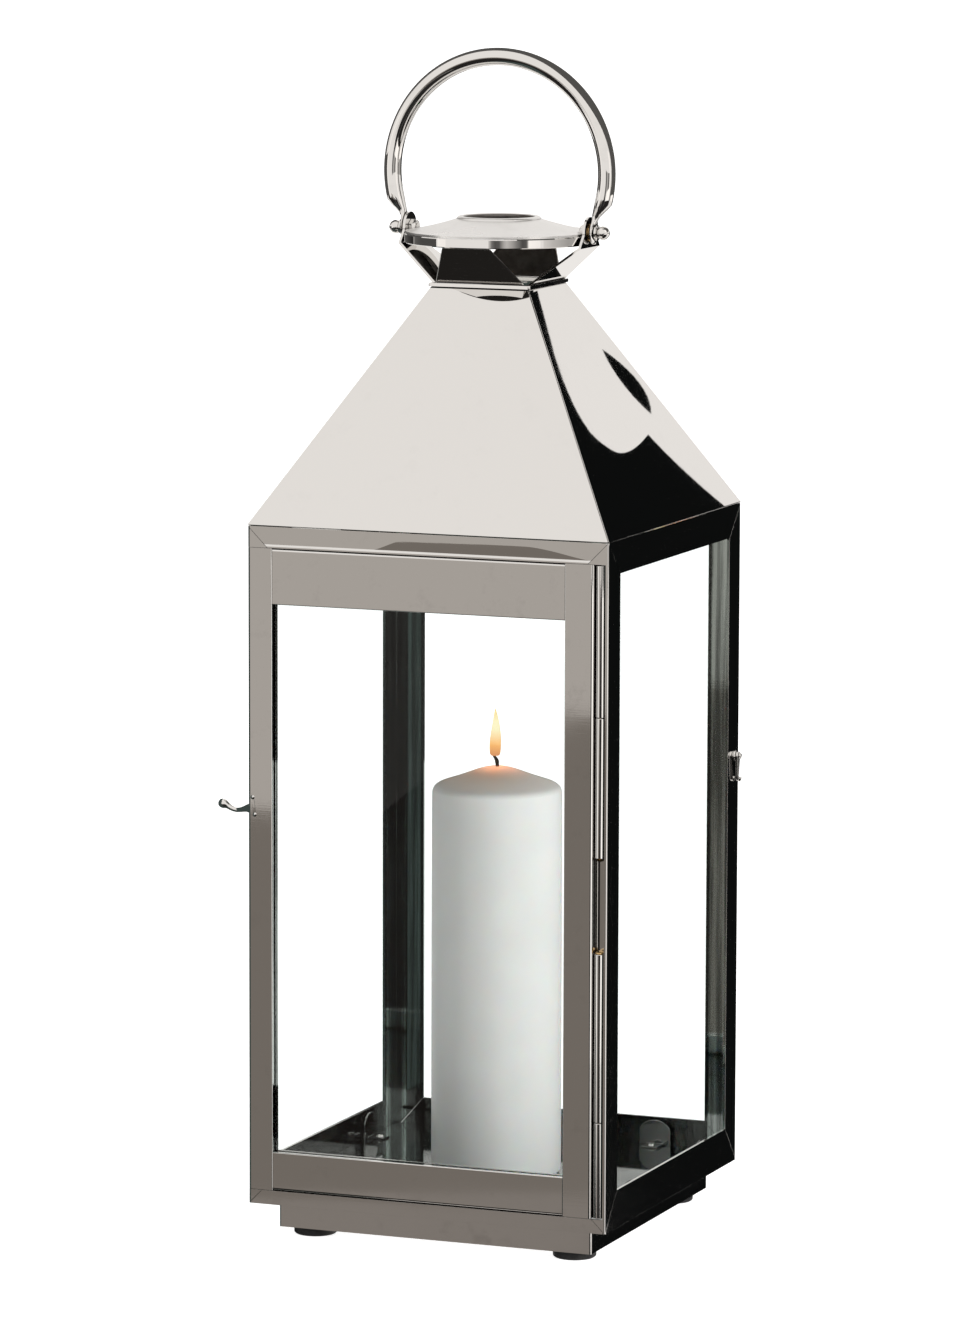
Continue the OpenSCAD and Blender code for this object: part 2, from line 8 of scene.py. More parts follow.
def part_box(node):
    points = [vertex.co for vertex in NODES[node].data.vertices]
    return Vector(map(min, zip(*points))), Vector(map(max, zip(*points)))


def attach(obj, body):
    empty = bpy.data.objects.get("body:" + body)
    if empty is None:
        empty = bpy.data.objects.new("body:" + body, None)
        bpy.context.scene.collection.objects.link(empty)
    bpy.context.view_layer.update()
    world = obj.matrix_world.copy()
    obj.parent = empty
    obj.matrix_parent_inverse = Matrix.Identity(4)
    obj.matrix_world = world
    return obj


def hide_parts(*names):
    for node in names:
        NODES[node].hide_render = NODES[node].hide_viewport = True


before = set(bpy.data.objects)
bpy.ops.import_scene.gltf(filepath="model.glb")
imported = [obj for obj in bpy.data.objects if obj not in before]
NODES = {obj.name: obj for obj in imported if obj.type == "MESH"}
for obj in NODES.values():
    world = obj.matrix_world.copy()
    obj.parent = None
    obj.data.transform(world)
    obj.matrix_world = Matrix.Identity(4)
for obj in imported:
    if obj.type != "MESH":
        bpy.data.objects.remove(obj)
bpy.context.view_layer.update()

MM = 0.001
scene = bpy.context.scene
scene.view_settings.view_transform = "Standard"

plinth_lo, plinth_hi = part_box("plinth")
# middle of the body on the ground; the box is wider on the catch side, so it isn't at x = 0
MIDDLE = Vector(((plinth_lo.x + plinth_hi.x) / 2, 0, 0))


# ---------- camera ----------

AZIMUTH = math.radians(21.74)
ELEVATION = math.radians(7.88)
ROLL = math.radians(0.17)
DISTANCE = 3.897
AIM_HEIGHT = 0.3272
AIM_SIDE = -0.00586
LENS = 181.92  # with a 36 mm sensor along the picture's height


def make_camera():
    data = bpy.data.cameras.new("camera")
    data.lens = LENS
    data.sensor_width = 36
    data.clip_start, data.clip_end = 0.1, 60
    camera = bpy.data.objects.new("camera", data)
    scene.collection.objects.link(camera)
    back = Vector((math.sin(AZIMUTH) * math.cos(ELEVATION),
                   -math.cos(AZIMUTH) * math.cos(ELEVATION), math.sin(ELEVATION)))
    level = Vector((0, 0, 1)).cross(back).normalized()
    upright = back.cross(level)
    right = level * math.cos(ROLL) + upright * math.sin(ROLL)
    up = upright * math.cos(ROLL) - level * math.sin(ROLL)
    place = MIDDLE + Vector((0, 0, AIM_HEIGHT)) + right * AIM_SIDE + back * DISTANCE
    turn = Matrix((right, up, back)).transposed().to_4x4()
    camera.matrix_world = Matrix.Translation(place) @ turn
    scene.camera = camera


make_camera()


# ---------- node materials ----------

class Nodes:
    """Short ways to make and join shader nodes of one material."""

    def __init__(self, name):
        self.material = bpy.data.materials.new(name)
        self.material.use_nodes = True
        self.tree = self.material.node_tree
        self.tree.nodes.clear()
        self.out = self.tree.nodes.new("ShaderNodeOutputMaterial")
        self.where = self.tree.nodes.new("ShaderNodeTexCoord").outputs["Object"]

    def node(self, kind, **inputs):
        made = self.tree.nodes.new(kind)
        for key, value in inputs.items():
            socket = made.inputs[key.replace("_", " ")]
            if isinstance(value, bpy.types.NodeSocket):
                self.tree.links.new(value, socket)
            else:
                socket.default_value = value
        return made

    def join(self, a, b):
        self.tree.links.new(a, b)

    def stretched(self, scale):
        return self.node("ShaderNodeMapping", Vector=self.where, Scale=scale).outputs[0]

    def noise(self, scale, detail=2.0, rough=0.5, at=None):
        made = self.node("ShaderNodeTexNoise", Vector=at or self.where, Scale=scale,
                         Detail=detail, Roughness=rough)
        return made.outputs["Fac"]

    def ramp(self, value, low, high, to_low=0.0, to_high=1.0, kind="LINEAR"):
        made = self.node("ShaderNodeMapRange", Value=value)
        made.interpolation_type = kind
        made.inputs["From Min"].default_value = low
        made.inputs["From Max"].default_value = high
        made.inputs["To Min"].default_value = to_low
        made.inputs["To Max"].default_value = to_high
        return made.outputs[0]

    def maths(self, kind, a, b):
        made = self.tree.nodes.new("ShaderNodeMath")
        made.operation = kind
        for socket, value in zip(made.inputs, (a, b)):
            if isinstance(value, bpy.types.NodeSocket):
                self.join(value, socket)
            else:
                socket.default_value = value
        return made.outputs[0]

    def mix(self, share, a, b):
        made = self.tree.nodes.new("ShaderNodeMix")
        made.data_type = "RGBA"
        self.join(share, made.inputs["Factor"])
        for key, value in (("A", a), ("B", b)):
            socket = [s for s in made.inputs if s.name == key and s.type == "RGBA"][0]
            if isinstance(value, bpy.types.NodeSocket):
                self.join(value, socket)
            else:
                socket.default_value = (*value, 1)
        return [s for s in made.outputs if s.type == "RGBA"][0]

    def bump(self, height, distance, strength=1.0, under=None):
        made = self.node("ShaderNodeBump", Height=height, Distance=distance, Strength=strength)
        if under is not None:
            self.join(under, made.inputs["Normal"])
        return made.outputs[0]

    def crease_shade(self, distance, dark):
        """Painted shade: 1 in the open, falling to the given darkness in gaps and inner corners."""
        near = self.node("ShaderNodeAmbientOcclusion", Distance=distance)
        near.samples = 8
        return self.ramp(near.outputs["AO"], 0.15, 0.6, dark, 1.0)

    def inward(self, start=-0.3):
        """1 on faces that look towards the lantern's upright middle line, else 0."""
        arm = self.node("ShaderNodeVectorMath", Vector=self.where)
        arm.operation = "SUBTRACT"
        arm.inputs[1].default_value = MIDDLE
        flat = self.node("ShaderNodeVectorMath", Vector=arm.outputs[0])
        flat.operation = "MULTIPLY"
        flat.inputs[1].default_value = (1, 1, 0)
        unit = self.node("ShaderNodeVectorMath", Vector=flat.outputs[0])
        unit.operation = "NORMALIZE"
        turn = self.node("ShaderNodeVectorMath", Vector=unit.outputs[0])
        turn.operation = "DOT_PRODUCT"
        self.join(self.node("ShaderNodeNewGeometry").outputs["True Normal"], turn.inputs[1])
        return self.ramp(turn.outputs["Value"], start, start - 0.1)

    def principled(self, **inputs):
        made = self.node("ShaderNodeBsdfPrincipled", **inputs)
        self.join(made.outputs[0], self.out.inputs["Surface"])
        return made


def steel(name, tint=(0.79, 0.775, 0.755), rough=0.035, wave=0.25, lines=(1, 1, 40), marks=0.5, grit=1.0,
          inside=None, pressed=None):
    """Polished stainless sheet: faint polishing lines, smudges, hair scratches and a slightly wavy face.
    Gaps and inner corners get painted shade.
    Faces that look inwards can have a darker, streaked tint."""
    n = Nodes(name)
    smudge = n.noise(11, 4, 0.62)
    lay = n.noise(30, 3, 0.6, n.stretched(lines))
    grain = n.noise(900, 2, 0.5)
    spots = n.ramp(n.noise(55, 6, 0.7), 0.56, 0.72)
    hair = n.ramp(n.noise(6, 5, 0.75, n.stretched((2, 3, 55))), 0.61, 0.66)
    soil = n.maths("MULTIPLY", spots, marks)
    base = n.mix(soil, tint, tuple(c * 0.82 for c in tint))
    if inside is not None:
        streak = n.ramp(n.noise(210, 3, 0.6, n.stretched((1, 1, 0.03))), 0.42, 0.6)
        inward_tone = n.mix(streak, tuple(c * 0.75 for c in inside), tuple(c * 2.1 for c in inside))
        base = n.mix(n.inward(), base, inward_tone)
    # painted shade: the base colour falls towards near black in gaps and inner corners
    base = n.mix(n.crease_shade(0.0035, 0.1), (0.03, 0.028, 0.025), base)
    dull = n.ramp(smudge, 0.42, 0.7, rough, rough + 0.055 * marks)
    dull = n.maths("ADD", dull, n.maths("MULTIPLY", spots, 0.06 * marks))
    dull = n.maths("ADD", dull, n.maths("MULTIPLY", hair, 0.07 * marks))
    low = n.bump(n.noise(7, 1, 0.4), wave * MM, 1.0)
    if pressed is not None:
        low = n.bump(pressed(n), 1.0, 1.0, low)
    fine = n.bump(lay, 0.004 * grit * MM, 0.6, low)
    fine = n.bump(grain, 0.0012 * grit * MM, 0.5, fine)
    n.principled(Base_Color=base, Metallic=1.0, Roughness=dull, Normal=fine)
    return n.material


def eave_press(n):
    """The eave strip is flat, with a long shallow hollow above the roll at its lower edge."""
    lo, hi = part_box("eave_front")
    tall = hi.z - lo.z
    split = n.node("ShaderNodeSeparateXYZ", Vector=n.where)
    x = n.maths("SUBTRACT", split.outputs["X"], MIDDLE.x)
    ends = n.maths("MULTIPLY", n.ramp(x, -0.036, -0.012, kind="SMOOTHSTEP"),
                   n.ramp(x, 0.108, 0.06, kind="SMOOTHSTEP"))
    wide = n.maths("MULTIPLY", ends, 0.55 * tall)
    z = n.maths("SUBTRACT", split.outputs["Z"], lo.z)
    z = n.maths("ADD", z, n.maths("MULTIPLY", n.noise(20, 2), 0.0012))
    inside = n.maths("MINIMUM", n.maths("MAXIMUM", n.maths("SUBTRACT", z, 0.17 * tall), 0.0), wide)
    curve = n.maths("MULTIPLY", n.maths("MULTIPLY", inside, inside), 4.5)
    hollow = n.maths("SUBTRACT", n.maths("MULTIPLY", inside, 0.085), curve)
    edge = n.ramp(split.outputs["Z"], lo.z + 0.07 * tall, lo.z + 0.17 * tall)
    roll = n.maths("MULTIPLY", edge, -0.03 * tall)
    return n.maths("ADD", hollow, roll)


def cap_steel(name):
    """Satin steel that is brown with soot, heat tint and painted shade on its underside and inside its
    hole.
    """
    n = Nodes(name)
    facing = n.node("ShaderNodeSeparateXYZ", Vector=n.node("ShaderNodeNewGeometry").outputs["True Normal"])
    under = n.maths("MAXIMUM", n.ramp(facing.outputs["Z"], -0.15, -0.5), n.inward(-0.5))
    cloud = n.ramp(n.noise(30, 5, 0.6), 0.3, 0.7, 0.7, 1.0)
    # soot and painted shade: faces that look down or into the hole turn near black brown, and rougher
    soot_and_shade = n.maths("MULTIPLY", under, cloud)
    base = n.mix(n.ramp(n.noise(60, 4, 0.6), 0.5, 0.8), (0.8, 0.79, 0.775), (0.74, 0.73, 0.715))
    base = n.mix(soot_and_shade, base, (0.045, 0.03, 0.02))
    dull = n.ramp(n.noise(14, 4, 0.6), 0.35, 0.7, 0.26, 0.32)
    dull = n.maths("ADD", dull, n.maths("MULTIPLY", soot_and_shade, 0.3))
    turned_lines = n.noise(500, 2, 0.5, n.stretched((1, 1, 12)))
    n.principled(Base_Color=base, Metallic=1.0, Roughness=dull,
                 Normal=n.bump(turned_lines, 0.003 * MM, 0.6, n.bump(n.noise(9, 1), 0.1 * MM)))
    return n.material


def brass(name):
    n = Nodes(name)
    worn = n.ramp(n.noise(160, 4, 0.6), 0.4, 0.68)
    base = n.mix(worn, (0.72, 0.5, 0.24), (0.5, 0.31, 0.13))
    dull = n.ramp(n.noise(90, 3, 0.6), 0.35, 0.7, 0.14, 0.3)
    n.principled(Base_Color=base, Metallic=1.0, Roughness=dull,
                 Normal=n.bump(n.noise(700, 2), 0.006 * MM))
    return n.material


def rubber(name):
    n = Nodes(name)
    dust = n.ramp(n.noise(80, 5, 0.65), 0.45, 0.75)
    base = n.mix(dust, (0.018, 0.018, 0.019), (0.06, 0.058, 0.055))
    dull = n.ramp(n.noise(240, 3), 0.3, 0.7, 0.5, 0.74)
    n.principled(Base_Color=base, Roughness=dull, Normal=n.bump(n.noise(1500, 3), 0.03 * MM))
    return n.material


def glass(name):
    """Window glass: what is behind shows straight through; smudges and dust specks dull its shine."""
    n = Nodes(name)
    smear = n.ramp(n.noise(13, 5, 0.65, n.stretched((1, 1, 0.45))), 0.52, 0.8)
    speck = n.ramp(n.noise(420, 2, 0.5), 0.74, 0.8)
    dull = n.maths("ADD", n.maths("MULTIPLY", smear, 0.09), n.maths("MULTIPLY", speck, 0.2))
    tint = n.mix(speck, (0.985, 0.995, 0.992), (0.93, 0.935, 0.93))
    through = n.node("ShaderNodeBsdfTransparent", Color=tint)
    normal = n.bump(n.noise(5, 1), 0.02 * MM)
    shine = n.node("ShaderNodeBsdfGlossy", Roughness=dull, Normal=normal)
    facing = n.node("ShaderNodeLayerWeight", Blend=0.5).outputs["Facing"]
    share = n.ramp(n.maths("POWER", facing, 5.0), 0.0, 1.0, 0.022, 0.6)
    both = n.tree.nodes.new("ShaderNodeMixShader")
    n.join(share, both.inputs[0])
    n.join(through.outputs[0], both.inputs[1])
    n.join(shine.outputs[0], both.inputs[2])
    n.join(both.outputs[0], n.out.inputs["Surface"])
    return n.material


def glowing(name, colour, strength):
    n = Nodes(name)
    shade = n.node("ShaderNodeEmission", Color=(*colour, 1), Strength=strength)
    n.join(shade.outputs[0], n.out.inputs["Surface"])
    return n.material


# ---------- stage: floor, light and cards that only the metal mirrors ----------

def mesh_object(name, points, faces, material=None):
    data = bpy.data.meshes.new(name)
    data.from_pydata([Vector(p) for p in points], [], faces)
    data.update()
    made = bpy.data.objects.new(name, data)
    scene.collection.objects.link(made)
    if material is not None:
        data.materials.append(material)
    return made


def make_floor():
    n = Nodes("floor")
    tone = n.mix(n.noise(3, 4), (0.93, 0.93, 0.925), (0.95, 0.95, 0.945))
    shown = n.tree.nodes.new("ShaderNodeLightPath").outputs["Is Camera Ray"]
    n.principled(Base_Color=tone, Roughness=0.9, Emission_Color=(1, 1, 1, 1),
                 Emission_Strength=n.maths("MULTIPLY", shown, 0.85))
    side = 30
    floor = mesh_object("floor", [(-side, -side, 0), (side, -side, 0), (side, side, 0), (-side, side, 0)],
                        [(0, 1, 2, 3)], n.material)
    floor.visible_glossy = False


def hide_card(card):
    """Only mirrored rays meet it."""
    card.visible_camera = False
    card.visible_diffuse = False
    card.visible_shadow = False
    card.visible_transmission = False


def make_card(name, bearing, distance, outline, level, tint=(1.0, 0.965, 0.93)):
    """An upright card, bearing in degrees round the lantern (0 is the door side), seen only in mirrors.
    The outline is in metres: across to the right as seen from the lantern, and up from the floor."""
    b = math.radians(bearing)
    out = Vector((math.sin(b), -math.cos(b), 0))
    across = Vector((math.cos(b), math.sin(b), 0))
    points = [MIDDLE + out * distance + across * u + Vector((0, 0, z)) for u, z in outline]
    card = mesh_object(name, points, [tuple(range(len(points)))], glowing(name, tint, level))
    hide_card(card)


def bend(start, pull, end, steps=10):
    """Points of a curve that leaves the start towards the pull point and reaches the end from it."""
    points = []
    for i in range(steps + 1):
        t = i / steps
        points.append(tuple((1 - t) ** 2 * a + 2 * t * (1 - t) * b + t * t * c
                            for a, b, c in zip(start, pull, end)))
    return points


def make_wall(name, table, distance, bottom, top):
    """A round wall through (bearing, brightness) points, seen only in mirrors."""
    points, faces, levels = [], [], []
    for (b0, v0), (b1, v1) in zip(table, table[1:]):
        steps = max(1, round((b1 - b0) / 4))
        for i in range(steps + 1):
            t = i / steps
            b = math.radians(b0 + (b1 - b0) * t)
            foot = MIDDLE + Vector((math.sin(b), -math.cos(b), 0)) * distance
            points += [foot + Vector((0, 0, bottom)), foot + Vector((0, 0, top))]
            levels += [v0 + (v1 - v0) * t] * 2
            if i:
                k = len(points) - 4
                faces.append((k, k + 2, k + 3, k + 1))
    n = Nodes(name)
    level = n.tree.nodes.new("ShaderNodeAttribute")
    level.attribute_name = "level"
    shade = n.node("ShaderNodeEmission", Color=(1, 0.965, 0.93, 1), Strength=level.outputs["Fac"])
    n.join(shade.outputs[0], n.out.inputs["Surface"])
    wall = mesh_object(name, points, faces, n.material)
    wall.data.attributes.new("level", "FLOAT", "POINT").data.foreach_set("value", levels)
    hide_card(wall)


def make_world():
    """White all round; what the metal mirrors is a little warmer and dimmer, and it lights softly."""
    world = bpy.data.worlds.new("studio")
    scene.world = world
    world.use_nodes = True
    tree = world.node_tree
    rays = tree.nodes.new("ShaderNodeLightPath")
    colour = None
    for ray, shown in (("Is Glossy Ray", (0.95, 0.925, 0.9)), ("Is Diffuse Ray", (0.54, 0.54, 0.535))):
        mix = tree.nodes.new("ShaderNodeMix")
        mix.data_type = "RGBA"
        tree.links.new(rays.outputs[ray], mix.inputs["Factor"])
        a, b = [s for s in mix.inputs if s.type == "RGBA"]
        a.default_value = (1.3, 1.3, 1.3, 1)
        b.default_value = (*shown, 1)
        if colour is not None:
            tree.links.new(colour, a)
        colour = [s for s in mix.outputs if s.type == "RGBA"][0]
    tree.links.new(colour, tree.nodes["Background"].inputs["Color"])


def make_light(name, place, aim, size, power):
    data = bpy.data.lights.new(name, "AREA")
    data.shape = "DISK"
    data.size = size
    data.energy = power
    lamp = bpy.data.objects.new(name, data)
    scene.collection.objects.link(lamp)
    lamp.location = place
    lamp.rotation_mode = "QUATERNION"
    lamp.rotation_quaternion = (Vector(place) - Vector(aim)).to_track_quat("Z", "Y")
    lamp.visible_glossy = False
    lamp.visible_transmission = False
    return lamp


make_world()
make_floor()
make_light("key", (2.9, -1.17, 1.2), (0, 0, 0.2), 1.2, 62)

# front left, far off: greys with a step between them, brighter again at the very foot
FAR = 7
FRONT_BEARING = -21.7
GREY_LINE = [(1.4, -0.70), (0.1, -0.70), (-0.1, -0.855), (-1.2, -0.855)]
make_card("card_front_high", FRONT_BEARING, FAR, [(-1.2, -0.2), (1.4, -0.2)] + GREY_LINE,
          0.465, (1, 0.935, 0.87))
make_card("card_front_low", FRONT_BEARING, FAR, GREY_LINE + [(-1.2, -1.49), (1.4, -1.49)],
          0.197, (1, 0.89, 0.79))
make_card("card_front_foot", FRONT_BEARING, FAR, [(1.4, -1.49), (-1.2, -1.49), (-1.2, -1.62), (1.4, -1.62)],
          0.25, (1, 0.9, 0.82))
# low in front: dark, as a ground plane well below the floor
GROUND_Z = -1.9
ground_corners = [(-10.3, -5.1), (4.5, -11.0), (9, 0.3), (-9, 0.3)]
ground = mesh_object("card_ground", [MIDDLE + Vector((x, y, GROUND_Z)) for x, y in ground_corners],
                     [(0, 1, 2, 3)], glowing("card_ground", (1.0, 0.94, 0.88), 0.02))
hide_card(ground)
# beside the left pane: keeps the rear left post dark
LEFT_X, LEFT_NEAR, LEFT_FAR, LEFT_LOW, LEFT_HIGH = -0.2, -0.27, 0.05, -0.1, 0.45
left_corners = [(LEFT_X, LEFT_NEAR, LEFT_LOW), (LEFT_X, LEFT_FAR, LEFT_LOW),
                (LEFT_X, LEFT_FAR, LEFT_HIGH), (LEFT_X, LEFT_NEAR, LEFT_HIGH)]
left = mesh_object("card_left", [MIDDLE + Vector(p) for p in left_corners], [(0, 1, 2, 3)],
                   glowing("card_left", (0.75, 1.0, 0.94), 0.075))
hide_card(left)
# behind, to the right: black, with the shape that the right roof panel mirrors
BACK_BEARING = 158
BACK_DISTANCE = 0.6
back_side = bend((-0.018, 0.48), (-0.018, 0.545), (0, 0.608))
back_notch = bend((0, 0.608), (-0.023, 0.61), (-0.022, 0.625))
back_slope = bend((-0.022, 0.625), (-0.022, 0.655), (0.01, 0.695))
make_card("card_back", BACK_BEARING, BACK_DISTANCE,
          [(-0.14, -0.2), (-0.018, -0.2)] + back_side + back_notch[1:] + back_slope[1:] +
          [(0.046, 0.736), (0.03, 0.77), (-0.14, 0.66)], 0.005, (0.9, 1.0, 1.0))
LEAF_LOW, LEAF_HIGH = (0.013, 0.614), (0.034, 0.667)
leaf = bend(LEAF_LOW, (0.031, 0.625), LEAF_HIGH) + bend(LEAF_HIGH, (0.019, 0.645), LEAF_LOW)[1:-1]
make_card("card_spear", BACK_BEARING, BACK_DISTANCE + 0.001, leaf, 0.005, (0.9, 1.0, 1.0))
# round walls of the room: bearing and brightness, so that rods and the cap's rim show dark and light bands
ROOM = 3.0
WALL_FOOT = 0.03
make_wall("wall_back", [(152, 0.01), (172, 0.02), (190, 0.07), (225, 0.09), (253, 0.02), (255, 0.35),
                        (259, 0.12), (272, 0.08), (300, 0.08)], ROOM, -0.2, 0.66)
make_wall("wall_bright_left", [(302, 1.15), (314, 1.1)], ROOM, -0.45, 1.2)
make_wall("wall_dark_right", [(9, 0.75), (13, 0.2), (17, 0.1), (22, 0.12), (28, 0.5), (31, 0.6), (37, 0.45),
                              (43, 0.25), (50, 0.09), (55, 0.12), (57, 0.5)], ROOM, WALL_FOOT, 0.5)
make_wall("wall_bright_right", [(58, 1.2), (73, 1.1)], ROOM, WALL_FOOT, 1.2)
make_wall("wall_right", [(77, 0.8), (90, 0.6), (114, 0.42), (150, 0.48)], ROOM, WALL_FOOT, 0.6)
# lower down: dark beside the camera, then bright, which draws dark and bright lines along upright edges
make_wall("wall_low_dark", [(-9, 0.3), (-5, 0.03), (24, 0.02), (28, 0.2)], ROOM, GROUND_Z, WALL_FOOT)
make_wall("wall_low_bright", [(30, 1.0), (45, 1.3), (76, 1.3), (80, 0.36), (100, 0.3), (104, 1.3),
                              (130, 1.3), (148, 1.0)], ROOM, -0.45, WALL_FOOT)
make_wall("wall_rear_grey", [(166, 0.32), (180, 0.22), (194, 0.3)], 1.0, -0.35, 0.06)
make_card("card_bright_high", 80, ROOM, [(-1.2, 2.0), (1.2, 2.0), (1.2, 5.0), (-1.2, 5.0)], 1.3)


def make_ring_shade():
    """Close behind and round the handle, so that the rod keeps a dark outer outline."""
    points, faces = [], []
    steps = 50
    for i in range(steps + 1):
        a = math.radians(-12 + 204 * i / steps)
        wrap = -0.004 - 0.045 * math.exp(-((math.degrees(a) - 48) / 26) ** 2)
        for r, y in ((0.0745, 0.03), (0.112, 0.03), (0.112, wrap)):
            points.append(MIDDLE + Vector((r * math.cos(a), y, 0.6127 + r * math.sin(a))))
    for i in range(steps):
        for j in (0, 1):
            k = 3 * i + j
            faces.append((k, k + 1, k + 4, k + 3))
    shade = mesh_object("ring_shade", points, faces, glowing("ring_shade", (1, 0.97, 0.93), 0.1))
    hide_card(shade)


make_ring_shade()


# ---------- mesh helpers ----------

def finish_mesh(made, material, body, smooth_levels=0, flat_above=40):
    """Closes up, orients and smooths a new piece, then makes it ride on its body."""
    mesh = bmesh.new()
    mesh.from_mesh(made.data)
    bmesh.ops.remove_doubles(mesh, verts=mesh.verts, dist=1e-6)
    bmesh.ops.recalc_face_normals(mesh, faces=mesh.faces)
    for face in mesh.faces:
        face.smooth = True
    for edge in mesh.edges:
        if len(edge.link_faces) == 2 and edge.calc_face_angle(0) > math.radians(flat_above):
            edge.smooth = False
    mesh.to_mesh(made.data)
    mesh.free()
    made.data.materials.append(material)
    if smooth_levels:
        finer = made.modifiers.new("finer", "SUBSURF")
        finer.levels = finer.render_levels = smooth_levels
    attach(made, body)


def lathe(name, profile, turns=96, place=(0, 0, 0), wobble=None):
    """Turns (radius, height) points, in millimetres, round the Z axis."""
    points, faces = [], []
    for r, z in profile:
        for i in range(turns):
            a = 2 * math.pi * i / turns
            k = 1 + (wobble(a, z) if wobble else 0)
            points.append((r * k * math.cos(a) * MM, r * k * math.sin(a) * MM, z * MM))
    for j in range(len(profile) - 1):
        for i in range(turns):
            k = (i + 1) % turns
            faces.append((j * turns + i, j * turns + k, (j + 1) * turns + k, (j + 1) * turns + i))
    made = mesh_object(name, points, faces)
    made.location = place
    return made


def tube(name, stations, around=24, place=(0, 0, 0)):
    """Skin over stations of (middle, half axis, other half axis), in millimetres, closed at both ends."""
    points, faces = [], []
    for middle, one, two in stations:
        for i in range(around):
            a = 2 * math.pi * i / around
            points.append((Vector(middle) + Vector(one) * math.cos(a) + Vector(two) * math.sin(a)) * MM)
    for j in range(len(stations) - 1):
        for i in range(around):
            k = (i + 1) % around
            faces.append((j * around + i, j * around + k, (j + 1) * around + k, (j + 1) * around + i))
    faces.append(tuple(range(around)))
    faces.append(tuple(range(len(points) - around, len(points))))
    made = mesh_object(name, points, faces)
    made.location = place
    return made


def eased(t):
    return t * t * (3 - 2 * t)


def between(table, x):
    """Value at x of a smooth line through (x, value) points in rising order."""
    for (x0, v0), (x1, v1) in zip(table, table[1:]):
        if x <= x1:
            return v0 + (v1 - v0) * eased(max(0, (x - x0) / (x1 - x0)))
    return table[-1][1]


# ---------- candle, wick and flame ----------

def wax(name, top):
    """Candle wax: light passes a little way in, the skin is faintly mottled, the top is darker and,
    near the wick, has a painted warm glow from the flame."""
    n = Nodes(name)
    mottle = n.ramp(n.noise(38, 4, 0.55), 0.3, 0.75)
    base = n.mix(mottle, (0.87, 0.865, 0.855), (0.82, 0.815, 0.805))
    apart = n.node("ShaderNodeVectorMath", Vector=n.where)
    apart.operation = "DISTANCE"
    apart.inputs[1].default_value = (0, 0, top)
    near = n.ramp(apart.outputs["Value"], 0.024, 0.002)
    near = n.maths("POWER", near, 1.8)
    facing = n.node("ShaderNodeSeparateXYZ", Vector=n.node("ShaderNodeNewGeometry").outputs["True Normal"])
    # the top faces are darker, more so towards the wick
    darker_top = n.maths("MULTIPLY", n.ramp(facing.outputs["Z"], 0.2, 0.85),
                   n.ramp(apart.outputs["Value"], 0.04, 0.014, 0.4, 1.0))
    base = n.mix(darker_top, base, (0.37, 0.345, 0.32))
    # painted light: the base colour turns salmon near the wick, as if lit by the flame
    base = n.mix(near, base, (0.8, 0.47, 0.36))
    dull = n.ramp(n.noise(120, 3), 0.3, 0.7, 0.36, 0.5)
    drag = n.bump(n.noise(18, 3, 0.5, n.stretched((1, 1, 0.25))), 0.25 * MM, 0.8)
    pits = n.bump(n.noise(900, 3), 0.02 * MM, 0.5, drag)
    shade = n.principled(Base_Color=base, Roughness=dull, IOR=1.44, Subsurface_Weight=0.35,
                         Subsurface_Scale=0.012, Normal=pits, Coat_Weight=0.08, Coat_Roughness=0.3)
    shade.inputs["Subsurface Radius"].default_value = (1.0, 0.55, 0.35)
    # painted glow: the wax near the wick emits a faint orange light of its own
    painted_glow = n.mix(near, (0, 0, 0), (1.0, 0.3, 0.16))
    n.join(painted_glow, shade.inputs["Emission Color"])
    shade.inputs["Emission Strength"].default_value = 0.09
    return n.material


def char(name):
    n = Nodes(name)
    ash = n.ramp(n.noise(900, 4, 0.7), 0.5, 0.75)
    base = n.mix(ash, (0.005, 0.0045, 0.004), (0.03, 0.026, 0.024))
    n.principled(Base_Color=base, Roughness=n.ramp(n.noise(700, 3), 0.3, 0.7, 0.75, 0.95),
                 Normal=n.bump(n.noise(2200, 4, 0.7), 0.15 * MM))
    return n.material


def flame_light(name, height):
    """Orange at the foot and the tip, yellow white in the body."""
    n = Nodes(name)
    split = n.node("ShaderNodeSeparateXYZ", Vector=n.where)
    up = n.maths("ADD", split.outputs["Z"], n.maths("MULTIPLY", n.noise(160, 2), 0.002))
    foot = n.ramp(up, 0.0, 0.3 * height)
    body = n.ramp(up, 0.25 * height, 0.6 * height)
    tip = n.ramp(up, 0.75 * height, height)
    colour = n.mix(foot, (0.62, 0.24, 0.12), (1.0, 0.52, 0.17))
    colour = n.mix(body, colour, (1.0, 0.92, 0.58))
    colour = n.mix(tip, colour, (0.95, 0.72, 0.3))
    rim = n.ramp(n.node("ShaderNodeLayerWeight", Blend=0.5).outputs["Facing"], 0.45, 1.0)
    colour = n.mix(rim, colour, (0.7, 0.42, 0.16))
    shade = n.node("ShaderNodeEmission", Color=colour, Strength=1.05)
    n.join(shade.outputs[0], n.out.inputs["Surface"])
    return n.material


candle_lo, candle_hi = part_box("candle")
CANDLE_R = (candle_hi.x - candle_lo.x) / 2 / MM
CANDLE_H = (candle_hi.z - candle_lo.z) / MM
CANDLE_FOOT = Vector((MIDDLE.x, 0, candle_lo.z))


